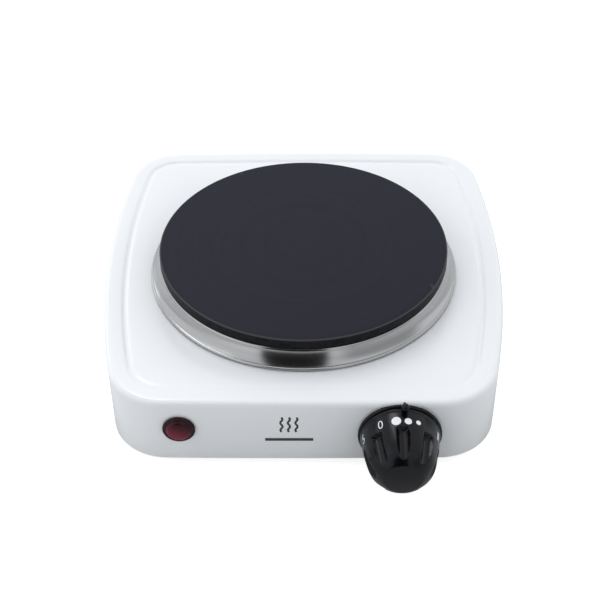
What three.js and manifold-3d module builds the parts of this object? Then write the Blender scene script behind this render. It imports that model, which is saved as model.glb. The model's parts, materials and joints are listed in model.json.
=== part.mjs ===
// A single-plate electric cooker: a cast-iron plate clamped to a pressed-steel box, with a
// thermostat knob and a pilot lamp on the front wall.
// Millimetres, +Z up, front towards -Y. Pieces are placed from the plate's centre line and the
// floor, and the whole appliance is then moved so that the origin is under the middle of its box.
import * as THREE from "three";
import { mergeVertices } from "three/addons/utils/BufferGeometryUtils.js";
import Module from "manifold-3d";

const wasm = await Module();
wasm.setup();

// ---- Driving dimensions ----
const GAP = 0.3; // between pieces that touch
const SHEET = 1.0; // pressed steel of the housing and the base plate

const PLATE_R = 77.5;
const PLATE_RIM = 6.0; // height of the plate's black side
const PLATE_ABOVE = 16.4; // plate top above the housing
const RING_R = 83.0; // outer edge of the trim ring

const SKIRT = 38.8; // height of the housing's walls
const SKIRT_BOTTOM = 6.0; // above the floor
const TOP = SKIRT_BOTTOM + SKIRT;
const PLATE_TOP = TOP + PLATE_ABOVE;
const OPENING_R = 76.0; // hole in the housing that the plate hangs through

const HALF_WIDTH = 108.5; // at the widest point of the bulging sides
const WIDEST_Y = 17.0;
const FRONT = 105.2; // from the plate's centre line to the front wall
const BACK = 113.1;
const SIDE_ARC = 457;
const FRONT_ARC = 5000;
const BACK_ARC = 2800;
const FRONT_CORNER = 30.2;
const BACK_CORNER = 27.1;
const EDGE_FILLET = 3.0;

const GROOVE_INSET = 11.0; // centre line of the pressed border groove
const GROOVE_HALF = 2.2;
const GROOVE_DEPTH = 1.0;
const GROOVE_FADE = [-97, -70]; // the groove runs out towards the front corners

const KNOB_X = 48.0;
const KNOB_Z = TOP - 20.3;
const KNOB_LENGTH = 32.0; // out from the front wall
const BEZEL_R = 20.9;
const PIP_R = 1.9; // index ball on the bezel's edge
const PIP_OUT = 3.8; // its centre, out from the wall
const PIP_TURN = 4; // degrees clockwise from the top
const SPINDLE_R = 3.0;
const STACK_X = -24; // thermostat's riveted stack, from the spindle's axis

const LAMP_X = -61.4;
const LAMP_Z = TOP - 17.1;
const LAMP_R = 8.2;

const GLAND_X = -32;
const GLAND_Z = 24;
const GLAND_OUT = 5.0; // proud of the back wall

const FOOT_X = 72;
const FOOT_Y = [-82, 91];
const FOOT_R = 10;
const SCREW_R = 2.0;

// ---- Materials ----
const finish = (color, roughness, metalness) =>
  new THREE.MeshStandardMaterial({ color, roughness, metalness });
const WHITE_PAINT = finish(0xe9edf1, 0.3, 0);
const CAST_IRON = finish(0x2b2b31, 0.75, 0.3);
const STAINLESS = finish(0xb4b4b6, 0.3, 1);
const ZINC_STEEL = finish(0x9c9fa3, 0.45, 1);
const BLACK_PLASTIC = finish(0x17171a, 0.25, 0);
const GREY_PLASTIC = finish(0xd8d8d2, 0.5, 0);
const RED_LENS = finish(0x8a1424, 0.15, 0);
const GLASS = finish(0xe6e9ea, 0.05, 0);
const BRASS = finish(0xb08d4a, 0.35, 1);
const CERAMIC = finish(0xe4dfd2, 0.6, 0);
const RUBBER = finish(0x1e1e1f, 0.85, 0);
const SLEEVING = finish(0xd9d5c8, 0.8, 0);
const EARTH_SLEEVING = finish(0x6f8f2a, 0.7, 0);

// ---- Solids ----
function solid(geometry) {
  const bare = geometry.clone();
  bare.deleteAttribute("normal");
  bare.deleteAttribute("uv");
  const merged = mergeVertices(bare, 1e-3);
  return new wasm.Manifold(
    new wasm.Mesh({
      numProp: 3,
      vertProperties: new Float32Array(merged.attributes.position.array),
      triVerts: new Uint32Array(merged.index.array),
    }),
  );
}

function geometryOf(manifold) {
  const made = manifold.getMesh();
  const geometry = new THREE.BufferGeometry();
  geometry.setAttribute("position", new THREE.BufferAttribute(made.vertProperties, 3));
  geometry.setIndex(new THREE.BufferAttribute(made.triVerts, 1));
  return geometry;
}

const cut = (body, ...tools) =>
  geometryOf(tools.reduce((left, tool) => left.subtract(solid(tool)), solid(body)));
const join = (body, ...others) =>
  geometryOf(others.reduce((sum, other) => sum.add(solid(other)), solid(body)));

// A turned piece about Z. The profile is [radius, height] pairs, walked with the material on the left.
function turned(profile, segments) {
  const points = profile.map(([r, z]) => new THREE.Vector2(r, z));
  return new THREE.LatheGeometry(points, segments).rotateX(Math.PI / 2);
}

// A turned piece with a bore: its profile closes on itself.
const turnedRing = (profile, segments) => turned([...profile, profile[0]], segments);

const rod = (radius, low, high, segments = 16) =>
  new THREE.CylinderGeometry(radius, radius, high - low, segments)
    .rotateX(Math.PI / 2)
    .translate(0, 0, (low + high) / 2);

// A tube with square ends about Z.
const sleeve = (inner, outer, low, high, segments = 20) =>
  turnedRing([[inner, low], [outer, low], [outer, high], [inner, high]], segments);

// A block between two corners.
function block([x0, y0, z0], [x1, y1, z1]) {
  const box = new THREE.BoxGeometry(x1 - x0, y1 - y0, z1 - z0);
  return box.translate((x0 + x1) / 2, (y0 + y1) / 2, (z0 + z1) / 2);
}

// ---- Outline of the housing, seen from above ----
// Four large wall arcs joined by four corner arcs. Each corner circle lies inside its two wall
// circles, taken anticlockwise, and touches both, so the outline runs smoothly from arc to arc.
function cornerCentre(wallA, wallB, radius) {
  const a = wallA.r - radius;
  const b = wallB.r - radius;
  const dx = wallB.x - wallA.x;
  const dy = wallB.y - wallA.y;
  const d = Math.hypot(dx, dy);
  const along = (a * a - b * b + d * d) / (2 * d);
  const across = Math.sqrt(a * a - along * along);
  return {
    x: wallA.x + (along * dx - across * dy) / d,
    y: wallA.y + (along * dy + across * dx) / d,
    r: radius,
  };
}

const walls = {
  front: { x: 0, y: FRONT_ARC - FRONT, r: FRONT_ARC, steps: 4 },
  right: { x: HALF_WIDTH - SIDE_ARC, y: WIDEST_Y, r: SIDE_ARC, steps: 8 },
  back: { x: 0, y: BACK - BACK_ARC, r: BACK_ARC, steps: 4 },
  left: { x: SIDE_ARC - HALF_WIDTH, y: WIDEST_Y, r: SIDE_ARC, steps: 8 },
};
const CORNER_STEPS = 6;

function makeOutline() {
  const corners = [
    { ...cornerCentre(walls.front, walls.right, FRONT_CORNER), steps: CORNER_STEPS },
    { ...cornerCentre(walls.right, walls.back, BACK_CORNER), steps: CORNER_STEPS },
  ];
  const mirrored = corners.map((c) => ({ ...c, x: -c.x })).reverse();
  const [frontRight, backRight, backLeft, frontLeft] = [...corners, ...mirrored];
  const arcs = [
    walls.front, frontRight, walls.right, backRight,
    walls.back, backLeft, walls.left, frontLeft,
  ];
  const joint = (i) => {
    const a = arcs[i % 8];
    const b = arcs[(i + 1) % 8];
    const [wall, corner] = a.r > b.r ? [a, b] : [b, a];
    return Math.atan2(corner.y - wall.y, corner.x - wall.x);
  };
  return arcs.flatMap((arc, i) => {
    const from = joint(i + 7);
    const sweep = (joint(i) - from + 2 * Math.PI) % (2 * Math.PI);
    return Array.from({ length: arc.steps }, (_, k) => {
      const angle = from + (sweep * k) / arc.steps;
      const nx = Math.cos(angle);
      const ny = Math.sin(angle);
      return { x: arc.x + arc.r * nx, y: arc.y + arc.r * ny, nx, ny };
    });
  });
}
const outline = makeOutline();

// The outline moved inwards, at a height that may vary along it.
const inset = (by, height) =>
  outline.map(({ x, y, nx, ny }) => {
    const z = typeof height === "function" ? height(y) : height;
    return new THREE.Vector3(x - nx * by, y - ny * by, z);
  });

// A circle about the plate's centre with one point facing each point of the outline.
const facingCircle = (radius, z) =>
  outline.map(({ x, y }) => new THREE.Vector3(x, y, 0).setLength(radius).setZ(z));

// A skin through rings of equal length. It closes on itself, or ends in a flat cap at each end.
function skin(rings, closesOnItself) {
  const count = rings[0].length;
  const points = rings.flat();
  const faces = [];
  const spans = closesOnItself ? rings.length : rings.length - 1;
  for (let i = 0; i < spans; i++) {
    const low = i * count;
    const high = ((i + 1) % rings.length) * count;
    for (let k = 0; k < count; k++) {
      const next = (k + 1) % count;
      faces.push(low + k, low + next, high + next, low + k, high + next, high + k);
    }
  }
  if (!closesOnItself) {
    const last = (rings.length - 1) * count;
    const first = points.push(new THREE.Vector3(0, 0, rings[0][0].z)) - 1;
    const final = points.push(new THREE.Vector3(0, 0, rings.at(-1)[0].z)) - 1;
    for (let k = 0; k < count; k++) {
      const next = (k + 1) % count;
      faces.push(first, next, k, final, last + k, last + next);
    }
  }
  const geometry = new THREE.BufferGeometry().setFromPoints(points);
  geometry.setIndex(faces);
  return geometry;
}

const frontWallY = (x) => FRONT_ARC - FRONT - Math.sqrt(FRONT_ARC ** 2 - x ** 2);
const backWallY = (x) => BACK - BACK_ARC + Math.sqrt(BACK_ARC ** 2 - x ** 2);

// ---- The scene graph ----
// Front pieces are made with +Z out of the front wall and +Y up, back pieces with +Z out of the back.
const originY = (GLAND_OUT + backWallY(GLAND_X) + frontWallY(KNOB_X) - KNOB_LENGTH) / 2;
const appliance = new THREE.Group();
const assembly = new THREE.Group();
assembly.position.y = -originY;
appliance.add(assembly);

function station(x, y, z, quarterTurns) {
  const group = new THREE.Group();
  group.position.set(x, y, z);
  group.rotation.x = (quarterTurns * Math.PI) / 2;
  assembly.add(group);
  return group;
}
const knobStation = station(KNOB_X, frontWallY(KNOB_X), KNOB_Z, 1);
const lampStation = station(LAMP_X, frontWallY(LAMP_X), LAMP_Z, 1);
const glandStation = station(GLAND_X, backWallY(GLAND_X), GLAND_Z, -1);

function add(parent, name, geometry, material) {
  const mesh = new THREE.Mesh(geometry, material);
  mesh.name = name;
  parent.add(mesh);
  return mesh;
}

const feet = [
  { where: "front_left", x: -FOOT_X, y: FOOT_Y[0], wall: -1 },
  { where: "front_right", x: FOOT_X, y: FOOT_Y[0], wall: -1 },
  { where: "rear_left", x: -FOOT_X, y: FOOT_Y[1], wall: 1 },
  { where: "rear_right", x: FOOT_X, y: FOOT_Y[1], wall: 1 },
];

// ---- Housing and base ----
const THERMOSTAT_SCREW_X = 11.5;

function addHousing() {
  // Depth of the groove at each place along the outline, and across its width.
  const [fadeFrom, fadeTo] = GROOVE_FADE;
  const dip = (share) => (y) =>
    -GROOVE_DEPTH * share * THREE.MathUtils.smoothstep(y, fadeFrom, fadeTo);
  const groove = (surface, across) =>
    across.map(([offset, share]) =>
      inset(GROOVE_INSET + offset * GROOVE_HALF, (y) => surface + dip(share)(y)),
    );
  const fillet = (radius, top, from, steps) =>
    Array.from({ length: steps + 1 }, (_, k) => {
      const angle = (k / steps) * (Math.PI / 2);
      return inset(
        from + radius * (1 - Math.cos(angle)),
        top - radius * (1 - Math.sin(angle)),
      );
    });
  const outside = [
    inset(0, SKIRT_BOTTOM),
    ...fillet(EDGE_FILLET, TOP, 0, 4),
    ...groove(TOP, [[-1, 0], [-0.5, 0.6], [0, 1], [0.5, 0.6], [1, 0]]),
    facingCircle(OPENING_R, TOP),
  ];
  const underside = TOP - SHEET;
  const inside = [
    facingCircle(OPENING_R, underside),
    ...groove(underside, [[1, 0], [0, 1], [-1, 0]]),
    ...fillet(EDGE_FILLET - SHEET, underside, SHEET, 2).reverse(),
    inset(SHEET, SKIRT_BOTTOM),
  ];
  const through = (hole, x, y, z) => hole.rotateX(Math.PI / 2).translate(x, y, z);
  const shell = cut(
    skin([...outside, ...inside], true),
    through(rod(5.2, -4, 4), KNOB_X, -FRONT, KNOB_Z),
    through(rod(1.8, -4, 4, 8), KNOB_X - THERMOSTAT_SCREW_X, -FRONT, KNOB_Z),
    through(rod(1.8, -4, 4, 8), KNOB_X + THERMOSTAT_SCREW_X, -FRONT, KNOB_Z),
    through(rod(5.9, -4, 4), LAMP_X, -FRONT, LAMP_Z),
    through(rod(6.8, -4, 4), GLAND_X, BACK, GLAND_Z),
  );
  add(assembly, "housing_shell", shell, WHITE_PAINT);
}

const BASE_TOP = 8.7;
const EARTH = { x: -85, y: 52 };

function addBasePlate() {
  const edge = SHEET + 0.6;
  const plate = skin(
    [
      inset(edge + SHEET, BASE_TOP - SHEET),
      inset(edge + SHEET, SKIRT_BOTTOM + 0.4),
      inset(edge, SKIRT_BOTTOM + 0.4),
      inset(edge, BASE_TOP),
    ],
    false,
  );
  const holes = feet.map(({ x, y }) => rod(SCREW_R + GAP, 0, 12, 10).translate(x, y, 0));
  holes.push(rod(2.3, 0, 12, 10).translate(EARTH.x, EARTH.y, 0));
  // Rows of ventilation slots either side of the middle.
  const slot = new THREE.Shape();
  slot.absarc(9, 0, 2, -Math.PI / 2, Math.PI / 2);
  slot.absarc(-9, 0, 2, Math.PI / 2, (3 * Math.PI) / 2);
  for (const side of [-1, 1]) {
    for (let row = 0; row < 5; row++) {
      const hole = new THREE.ExtrudeGeometry(slot, {
        depth: 12,
        bevelEnabled: false,
        curveSegments: 2,
      });
      holes.push(hole.translate(side * 38, -24 + row * 12, 0));
    }
  }
  add(assembly, "base_plate", cut(plate, ...holes), ZINC_STEEL);
}

// An angle bracket spot-welded inside the wall by each foot: the foot's screw bites in it.
function addCorners() {
  const low = BASE_TOP + GAP;
  const foot = turnedRing(
    [
      [4.5, 0], [FOOT_R - 1, 0], [FOOT_R, 1], [FOOT_R - 1.2, BASE_TOP - SHEET - GAP],
      [SCREW_R + GAP, BASE_TOP - SHEET - GAP], [SCREW_R + GAP, 4.5], [4.5, 4.5],
    ],
    16,
  );
  const screw = turned(
    [[0, 2.2], [2.6, 2.2], [3.8, 3], [3.8, 4.2], [SCREW_R, 4.2], [SCREW_R, 13.5], [0, 13.5]],
    10,
  );
  for (const { where, x, y, wall } of feet) {
    const wallY = wall > 0 ? backWallY(FOOT_X) : frontWallY(FOOT_X);
    const face = wallY - wall * (SHEET + GAP);
    const near = Math.sign(x) * (FOOT_X - 20); // the side towards the middle
    const span = (...ends) => ends.sort((p, q) => p - q);
    const [legLow, legHigh] = span(near, near + Math.sign(x) * 16);
    const [padLow, padHigh] = span(near, x + Math.sign(x) * 9);
    const [thinLow, thinHigh] = span(face, face - wall * 1.5);
    const [armLow, armHigh] = span(face, y - wall * 9);
    const [restLow, restHigh] = span(y + wall * 10, y - wall * 9);
    const bracket = cut(
      join(
        block([legLow, thinLow, low], [legHigh, thinHigh, low + 5]),
        block([legLow, armLow, low], [legHigh, armHigh, low + 1.5]),
        block([padLow, restLow, low], [padHigh, restHigh, low + 1.5]),
      ),
      rod(SCREW_R + GAP, 0, 20, 10).translate(x, y, 0),
    );
    add(assembly, `corner_bracket_${where}`, bracket, ZINC_STEEL);
    add(assembly, `foot_${where}`, foot.clone(), RUBBER).position.set(x, y, 0);
    add(assembly, `foot_screw_${where}`, screw.clone(), ZINC_STEEL).position.set(x, y, 0);
  }
}

// ---- Cooking plate and what clamps it ----
const RIM_BOTTOM = PLATE_TOP - PLATE_RIM;
const BODY_R = 71.5; // of the plate below its rim
const BODY_BOTTOM = 42;
const COIL_RADII = { outer: 57, inner: 36 };
const COIL_Z = 48;
const COVER_TOP = BODY_BOTTOM - GAP;
const SHIELD_Z = 34.5;
const BRIDGE_TOP = 33.9;
const STUD_R = 3;
const PIN_X = 9;
const PIN_Y = 35;

function addPlate() {
  const [outer, inner] = [COIL_RADII.outer, COIL_RADII.inner];
  const channel = 6.5; // half the width of each coil's channel
  const roof = COIL_Z + 5;
  const plate = turned(
    [
      [0, 50], [STUD_R + GAP, 50], [STUD_R + GAP, 38.5], [9, 38.5], [10.5, BODY_BOTTOM],
      [inner - channel, BODY_BOTTOM], [inner - channel, roof],
      [inner + channel, roof], [inner + channel, BODY_BOTTOM],
      [outer - channel, BODY_BOTTOM], [outer - channel, roof],
      [outer + channel, roof], [outer + channel, BODY_BOTTOM],
      [BODY_R, BODY_BOTTOM], [BODY_R, RIM_BOTTOM], [PLATE_R, RIM_BOTTOM],
      [PLATE_R, PLATE_TOP - 0.8], [PLATE_R - 0.8, PLATE_TOP], [0, PLATE_TOP],
    ],
    40,
  );
  add(assembly, "hot_plate", plate, CAST_IRON);

  // The ring's inner lip lies under the plate's rim, and its foot stands on the housing.
  const ring = turnedRing(
    [
      [74.2, RIM_BOTTOM - 1.1], [76.6, RIM_BOTTOM - 1.1], [78.6, TOP + 6], [80.8, TOP + 2],
      [81.8, TOP + GAP], [82.6, TOP + GAP], [RING_R, TOP + 0.8], [RING_R - 0.2, TOP + 1.6],
      [82.2, TOP + 2], [79.9, TOP + 6], [77.6, RIM_BOTTOM - GAP], [74.2, RIM_BOTTOM - GAP],
    ],
    40,
  );
  add(assembly, "trim_ring", ring, STAINLESS);

  const pinHoles = [-PIN_X, PIN_X].map((x) => rod(2, 20, 60, 8).translate(x, PIN_Y, 0));
  const cover = cut(sleeve(11.2, BODY_R - 1.5, COVER_TOP - 0.8, COVER_TOP, 32), ...pinHoles);
  add(assembly, "plate_cover", cover, ZINC_STEEL);

  const section = new THREE.Shape().absarc(0, 0, 2.5, 0, 2 * Math.PI);
  for (const [name, radius] of Object.entries(COIL_RADII)) {
    const gap = 14 / radius; // open towards the element pins
    const path = new THREE.Curve();
    path.getPoint = (t, target = new THREE.Vector3()) => {
      const angle = Math.PI / 2 + gap + t * 2 * (Math.PI - gap);
      return target.set(radius * Math.cos(angle), radius * Math.sin(angle), COIL_Z);
    };
    const coil = new THREE.ExtrudeGeometry(section, {
      extrudePath: path,
      steps: 22,
      curveSegments: 3,
    });
    add(assembly, `heating_coil_${name}`, coil, ZINC_STEEL);
  }
  for (const [side, x] of [["left", -PIN_X], ["right", PIN_X]]) {
    const pin = rod(1.3, 29, COIL_Z - 2, 8).translate(x, PIN_Y, 0);
    add(assembly, `element_pin_${side}`, pin, ZINC_STEEL);
  }
  const ceramic = cut(
    block([-18, PIN_Y - 8, 24], [18, PIN_Y + 8, SHIELD_Z - GAP]),
    ...[-PIN_X, PIN_X].map((x) => rod(1.8, 28, 60, 8).translate(x, PIN_Y, 0)),
    block([-1.5, PIN_Y - 10, 20], [1.5, PIN_Y + 10, 30]),
  );
  add(assembly, "plate_terminal_block", ceramic, CERAMIC);
}

function addClamp() {
  const shield = cut(
    turnedRing(
      [
        [11, SHIELD_Z], [62, SHIELD_Z], [69.4, 38], [69.4, 40.4], [68.7, 40.4], [68.7, 38.4],
        [61.6, SHIELD_Z + 0.7], [11, SHIELD_Z + 0.7],
      ],
      32,
    ),
    ...[-PIN_X, PIN_X].map((x) => rod(2.4, 20, 60, 8).translate(x, PIN_Y, 0)),
  );
  add(assembly, "heat_shield", shield, ZINC_STEEL);

  // A hat-shaped bar pressed up against the housing on both sides by the nut in its middle.
  const thick = 1.8;
  const shelfTop = TOP - SHEET - GAP;
  const half = [
    [74.5, BRIDGE_TOP], [74.5, shelfTop], [92, shelfTop],
    [92, shelfTop - thick], [74.5 + thick, shelfTop - thick],
    [74.5 + thick, BRIDGE_TOP - thick],
  ];
  const mirrored = half.map(([x, z]) => [-x, z]).reverse();
  const profile = new THREE.Shape(
    [...mirrored, ...half].map(([x, z]) => new THREE.Vector2(x, z)),
  );
  const width = 24;
  const bar = new THREE.ExtrudeGeometry(profile, { depth: width, bevelEnabled: false });
  bar.rotateX(Math.PI / 2).translate(0, width / 2, 0);
  const bridge = cut(bar, rod(STUD_R + GAP, 20, 40, 12));
  add(assembly, "clamp_bridge", bridge, ZINC_STEEL);

  const underBridge = BRIDGE_TOP - thick - GAP;
  add(assembly, "clamp_stud", rod(STUD_R, 22, 49.5, 12), ZINC_STEEL);
  const washer = sleeve(STUD_R + GAP, 8, underBridge - 1.2, underBridge, 16);
  add(assembly, "clamp_washer", washer, ZINC_STEEL);
  const nutTop = underBridge - 1.2 - GAP;
  const nut = cut(rod(5.8, nutTop - 5, nutTop, 6), rod(STUD_R + GAP, 10, 40, 12));
  add(assembly, "clamp_nut", nut, ZINC_STEEL);
}

// ---- Knob and thermostat, with +Z out of the front wall ----
function addKnob() {
  const back = 2.8;
  const body = turned(
    [
      [0, 21], [SPINDLE_R + GAP, 21], [SPINDLE_R + GAP, 4.5], [6, 4.5], [6, 12], [14.6, 12],
      [16.6, 9], [17.2, back], [19.7, back], [19.9, back + 0.5], [19.4, 5.2], [19.1, 8], [18.4, 13],
      [16.5, 22], [15.3, 25], [13.1, 28], [10.8, 30], [9.4, 30.8],
      [0, KNOB_LENGTH],
    ],
    32,
  );
  // Eight finger flutes, each a scoop with round ends that leans with the knob's taper.
  const lean = 0.21;
  const flutes = Array.from({ length: 8 }, (_, k) =>
    new THREE.CapsuleGeometry(3.3, 8.5, 2, 8)
      .rotateX(Math.PI / 2 + lean)
      .translate(0, 17.2, 21)
      .rotateZ((k * Math.PI) / 4),
  );
  add(knobStation, "control_knob", cut(body, ...flutes), BLACK_PLASTIC);

  const spring = block([2.3, -1.2, 8], [2.8, 1.2, 18]);
  add(knobStation, "knob_spring", spring, ZINC_STEEL);
  const spindle = cut(rod(SPINDLE_R, -7.5, 20, 16), block([2, -4, 6], [5, 4, 22]));
  add(knobStation, "thermostat_spindle", spindle, ZINC_STEEL);
}

function addBezel() {
  const webTop = 1.2;
  const ring = turnedRing(
    [
      [8, 0.4], [BEZEL_R - 0.8, 0.4], [BEZEL_R, 1.2], [BEZEL_R, 1.8], [BEZEL_R - 0.6, 2.5], [15.2, 2.5],
      [15.2, webTop], [8, webTop],
    ],
    32,
  );
  // The index pip is a ball on a short stem, a little to the right of the top.
  const ball = new THREE.SphereGeometry(PIP_R, 10, 6).translate(0, BEZEL_R + 1.3, PIP_OUT);
  const stem = rod(1, 0.4, 3.2, 8).translate(0, BEZEL_R + 0.3, 0);
  const pip = join(ball, stem).rotateZ(-THREE.MathUtils.degToRad(PIP_TURN));
  const screwHoles = [-1, 1].map((s) =>
    rod(1.8, -4, 8, 8).translate(s * THERMOSTAT_SCREW_X, 0, 0),
  );
  const bezel = cut(join(ring, pip), ...screwHoles);
  add(knobStation, "dial_bezel", bezel, BLACK_PLASTIC);

  const screw = turned(
    [[0, -4.5], [1.5, -4.5], [1.5, 1.5], [2.8, 1.5], [2.8, 2.4], [1.6, 3.1], [0, 3.1]],
    10,
  );
  for (const [side, sign] of [["left", -1], ["right", 1]]) {
    const mesh = add(knobStation, `thermostat_screw_${side}`, screw.clone(), ZINC_STEEL);
    mesh.position.x = sign * THERMOSTAT_SCREW_X;
  }
}

// Strips riveted in a stack, spaced by ceramic washers. The regulating pin pushes the front leaf.
function addThermostat() {
  const plateFront = -1.6;
  const plateBack = plateFront - 1.2;
  const mountingPlate = cut(
    block([-30, -9, plateBack], [14.5, 9, plateFront]),
    rod(4.9, -8, 4, 16),
    rod(1.8, -8, 4, 8).translate(-THERMOSTAT_SCREW_X, 0, 0),
    rod(1.8, -8, 4, 8).translate(THERMOSTAT_SCREW_X, 0, 0),
    rod(1.9, -8, 4, 8).translate(STACK_X, 0, 0),
  );
  add(knobStation, "thermostat_plate", mountingPlate, ZINC_STEEL);

  const bore = SPINDLE_R + GAP;
  const flangeTop = plateBack - GAP;
  const bush = turnedRing(
    [[bore, -11], [4.6, -11], [4.6, flangeTop - 1.5], [6.5, flangeTop - 1.5],
      [6.5, flangeTop], [4.6, flangeTop], [4.6, 1.8], [bore, 1.8]],
    16,
  );
  add(knobStation, "thermostat_bush", bush, BRASS);
  const pin = turned([[0, -12.8], [1.6, -12.8], [SPINDLE_R, -10.6], [SPINDLE_R, -7.8], [0, -7.8]], 12);
  add(knobStation, "regulating_pin", pin, CERAMIC);

  const strip = 0.5;
  const spacers = [10.5, 2.5, 2, 2]; // front to back
  const strips = [
    { name: "contact_leaf_front", tab: -36, end: 4 },
    { name: "contact_leaf_rear", tab: -36, end: 4 },
    { name: "bimetal_strip", tab: -28, end: 6 },
  ];
  let z = plateBack;
  spacers.forEach((length, i) => {
    const high = z - GAP;
    z = high - length;
    const washer = sleeve(1.9, 5, z, high, 10);
    add(knobStation, `ceramic_spacer_${i + 1}`, washer, CERAMIC).position.x = STACK_X;
    if (i < strips.length) {
      const { name, tab, end } = strips[i];
      const top = z - GAP;
      z = top - strip;
      let leaf = block([tab, -4, z], [end, 4, top]);
      if (i === 0) leaf = join(leaf, rod(1.8, z - 1.2, z + 0.1, 10).translate(-5, 0, 0));
      if (i === 1) leaf = join(leaf, rod(1.8, top - 0.1, top + 1.5, 10).translate(-5, 0, 0));
      leaf = cut(leaf, rod(1.9, z - 2, top + 2, 8).translate(STACK_X, 0, 0));
      add(knobStation, name, leaf, i < 2 ? BRASS : ZINC_STEEL);
    }
  });
  const tail = z - GAP;
  const rivet = turned(
    [[0, tail - 1.4], [2.2, tail - 1.4], [3, tail - 0.8], [3, tail], [1.6, tail],
      [1.6, plateFront], [0, plateFront]],
    10,
  );
  add(knobStation, "stack_rivet", rivet, ZINC_STEEL).position.x = STACK_X;
}

// ---- Pilot lamp, with +Z out of the front wall ----
function addLamp() {
  const seat = 0.35;
  const lens = turned(
    [
      [0, 0.5], [4.4, 0.5], [4.4, -9], [5.6, -9], [5.6, seat], [LAMP_R, seat],
      [LAMP_R, 1.3], [7.4, 1.9], [6.4, 1.9], [5.2, 2.8], [2.8, 3.5], [0, 3.7],
    ],
    20,
  );
  add(lampStation, "pilot_lens", lens, RED_LENS);
  const retainer = sleeve(5.9, 9, -2.6, -1.8, 16);
  add(lampStation, "pilot_retainer", retainer, ZINC_STEEL);
  const bulb = turned([[0, -8.5], [2.6, -8.5], [2.8, -7.8], [2.8, -2.6], [1.6, -0.9], [0, -0.4]], 12);
  add(lampStation, "neon_bulb", bulb, GLASS);
}

// ---- Mains side ----
const TERMINAL = { x: GLAND_X, y: 82, halfDepth: 9, z: 14, pitch: 9 };

function addMains() {
  const bore = 4;
  const gland = turnedRing(
    [[bore, -8], [6.4, -8], [6.4, 0.6], [9.5, 0.6], [9.5, 2.6], [8.2, GLAND_OUT],
      [bore, GLAND_OUT]],
    16,
  );
  add(glandStation, "cord_gland", gland, BLACK_PLASTIC);
  const nut = cut(rod(10, -5.6, -1.9, 6), rod(6.7, -10, 0, 16));
  add(glandStation, "gland_nut", nut, BLACK_PLASTIC);

  const { x, y, halfDepth, z, pitch } = TERMINAL;
  const low = BASE_TOP + GAP;
  const poles = [-1, 0, 1].map((i) => x + i * pitch);
  const body = cut(
    block([x - 14.5, y - halfDepth, low], [x + 14.5, y + halfDepth, 20]),
    ...poles.map((px) => rod(1.9, -20, 20, 8).rotateX(Math.PI / 2).translate(px, y, z)),
    ...poles.map((px) => rod(2, z, 30, 8).translate(px, y - 4, 0)),
    ...[-0.5, 0.5].map((i) => {
      const mid = x + i * pitch;
      return block([mid - 0.8, y - 20, 17], [mid + 0.8, y + 20, 25]);
    }),
  );
  add(assembly, "mains_terminal_block", body, GREY_PLASTIC);

  const earthStation = station(EARTH.x, EARTH.y, 0, 0);
  const screw = turned(
    [[0, 5], [2.8, 5], [3.6, 5.8], [3.6, 7.4], [SCREW_R, 7.4], [SCREW_R, 15], [0, 15]],
    10,
  );
  add(earthStation, "earth_screw", screw, BRASS);
  const tag = join(sleeve(SCREW_R + GAP, 4.6, low, low + 0.7, 14), block([4, -1.6, low], [10, 1.6, low + 3]));
  add(earthStation, "earth_tag", tag, BRASS);
  const nut2 = cut(rod(4, low + 1, low + 4, 6), rod(SCREW_R + GAP, 5, 20, 10));
  add(earthStation, "earth_nut", nut2, BRASS);
}

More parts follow.
